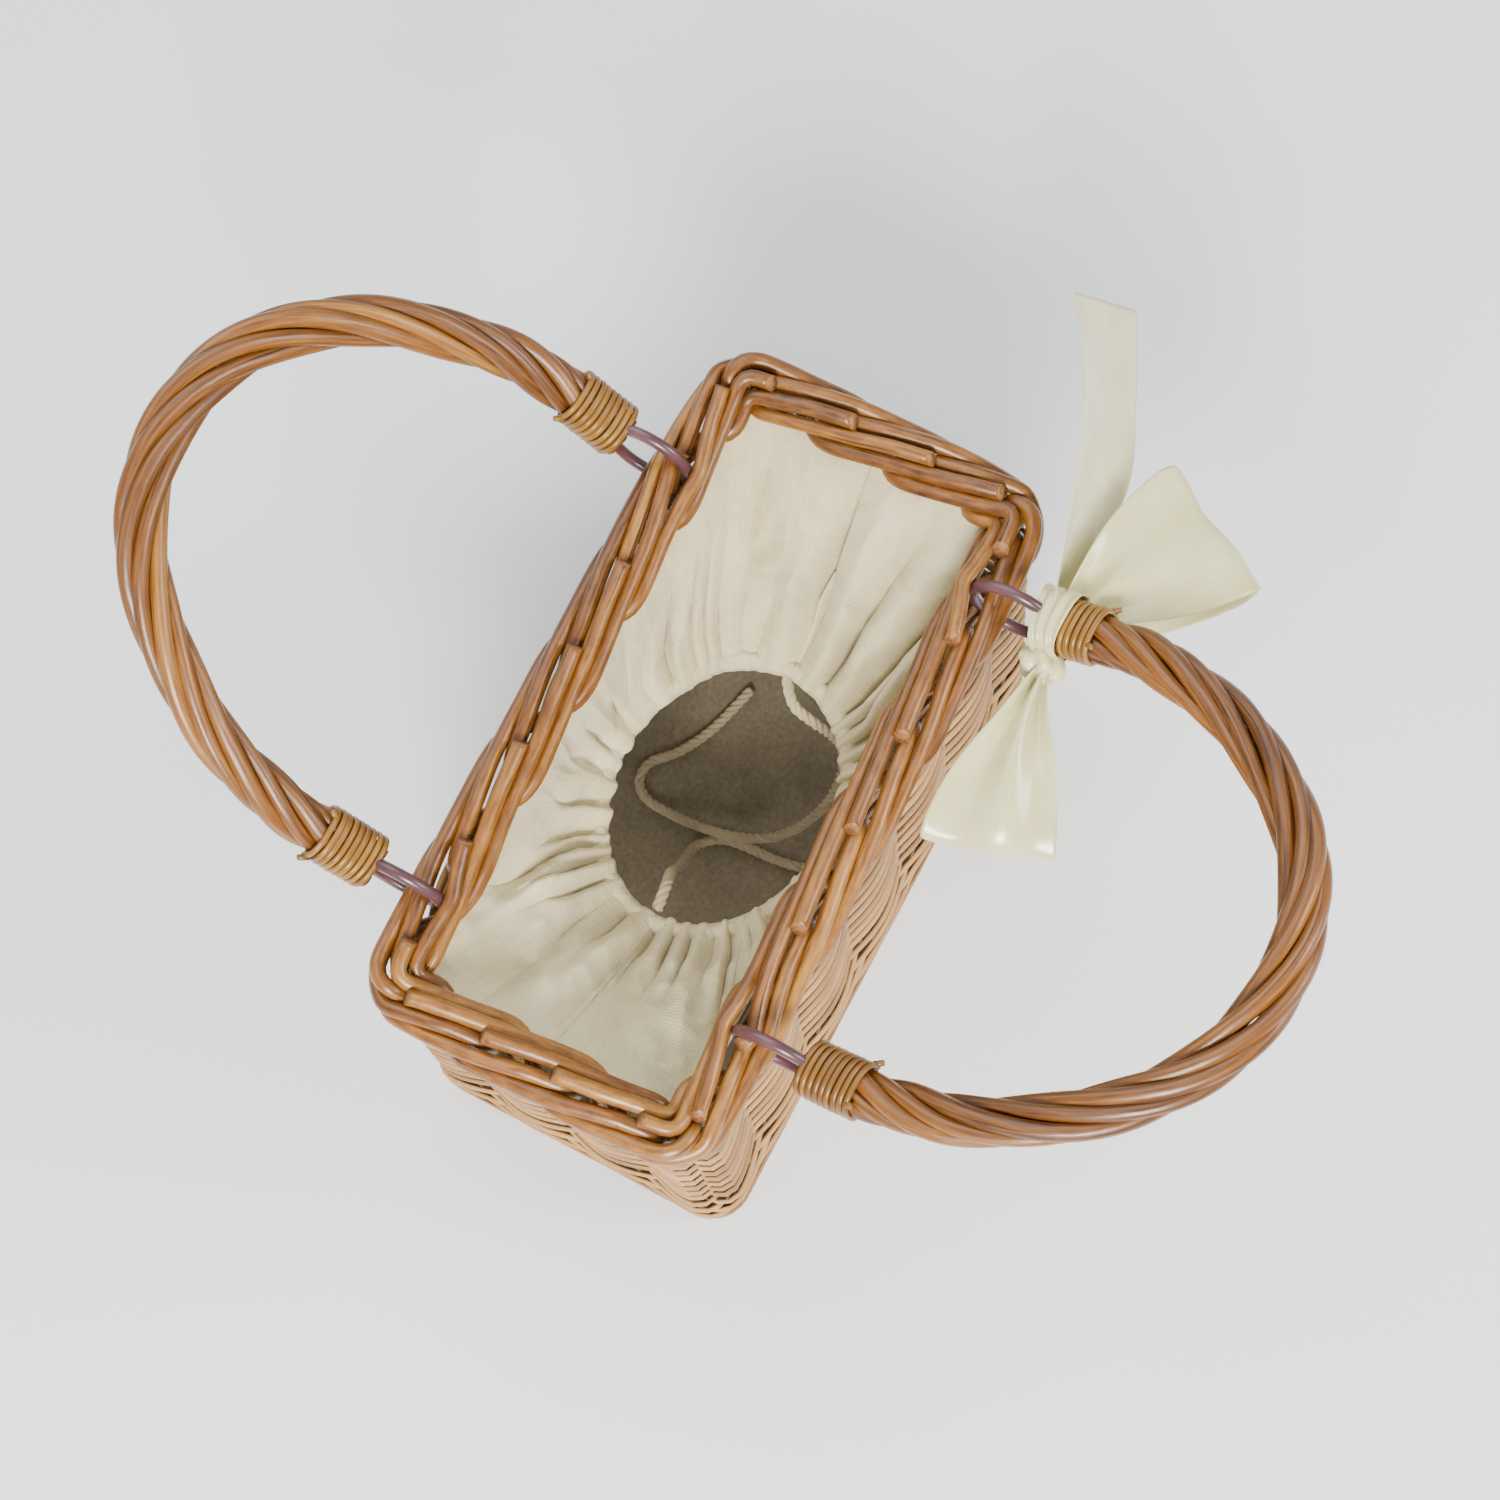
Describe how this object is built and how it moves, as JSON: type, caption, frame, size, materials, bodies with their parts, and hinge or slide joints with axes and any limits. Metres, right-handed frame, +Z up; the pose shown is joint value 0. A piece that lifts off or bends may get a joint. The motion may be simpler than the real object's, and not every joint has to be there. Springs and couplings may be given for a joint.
{
  "type": "flower girl basket",
  "caption": "Small rectangular wicker basket with two hinged hoop handles on rings, a gathered cloth liner with a drawstring, and a satin bow tied to one handle.",
  "frame": {"origin": "centre of the base board's flat underside", "axes": "+Z up, +X along the basket's long side towards its right end as seen from the front, +Y towards the back, where the plain handle is; the handle with the bow is at the front, on -Y"},
  "size_m": [0.2708, 0.3244, 0.22],
  "materials": {
    "willow_rod": "buff willow rods, smooth with a low natural sheen",
    "split_willow": "flat split willow strips with a fine lengthwise grain, satin",
    "willow_skein": "shaved willow skein, satin with bright streaks",
    "base_ply": "plain pressed board, matt and speckled",
    "covered_wire": "plum-brown covered wire, glossy",
    "linen": "off-white plain woven cloth, matt",
    "cotton_cord": "off-white twisted cotton cord, matt",
    "satin_ribbon": "ivory satin ribbon with a soft sheen"
  },
  "bodies": {
    "basket": {"base_board": "base_ply", "stakes_front": "willow_rod", "stakes_back": "willow_rod", "stakes_left": "willow_rod", "stakes_right": "willow_rod", "wall_front": "split_willow", "wall_back": "split_willow", "wall_left": "split_willow", "wall_right": "split_willow", "border_front": "willow_rod", "border_back": "willow_rod", "border_left": "willow_rod", "border_right": "willow_rod", "liner_front_panel": "linen", "liner_back_panel": "linen", "drawstring_hem": "linen", "drawstring_in_hem": "cotton_cord", "drawstring_right_end": "cotton_cord", "drawstring_left_end": "cotton_cord"},
    "back_handle": {"handle_back_rod_1": "willow_rod", "handle_back_rod_2": "willow_rod", "handle_back_rod_3": "willow_rod", "handle_back_rod_4": "willow_rod", "whipping_back_left": "willow_skein", "whipping_back_right": "willow_skein", "ring_back_left": "covered_wire", "ring_back_right": "covered_wire"},
    "front_handle": {"handle_front_rod_1": "willow_rod", "handle_front_rod_2": "willow_rod", "handle_front_rod_3": "willow_rod", "handle_front_rod_4": "willow_rod", "whipping_front_left": "willow_skein", "whipping_front_right": "willow_skein", "ring_front_left": "covered_wire", "ring_front_right": "covered_wire", "ribbon_band": "satin_ribbon", "ribbon_knot": "satin_ribbon", "ribbon_loop_left": "satin_ribbon", "ribbon_loop_right": "satin_ribbon", "ribbon_tail": "satin_ribbon"}
  },
  "joints": [
    {"name": "handle_back", "type": "hinge", "parent": "basket", "child": "back_handle", "pos_m": [0, 0.056, 0.141], "axis": [1, 0, 0], "range_deg": [-108, 72]},
    {"name": "handle_front", "type": "hinge", "parent": "basket", "child": "front_handle", "pos_m": [0, -0.056, 0.141], "axis": [-1, 0, 0], "range_deg": [-64, 71]}
  ]
}
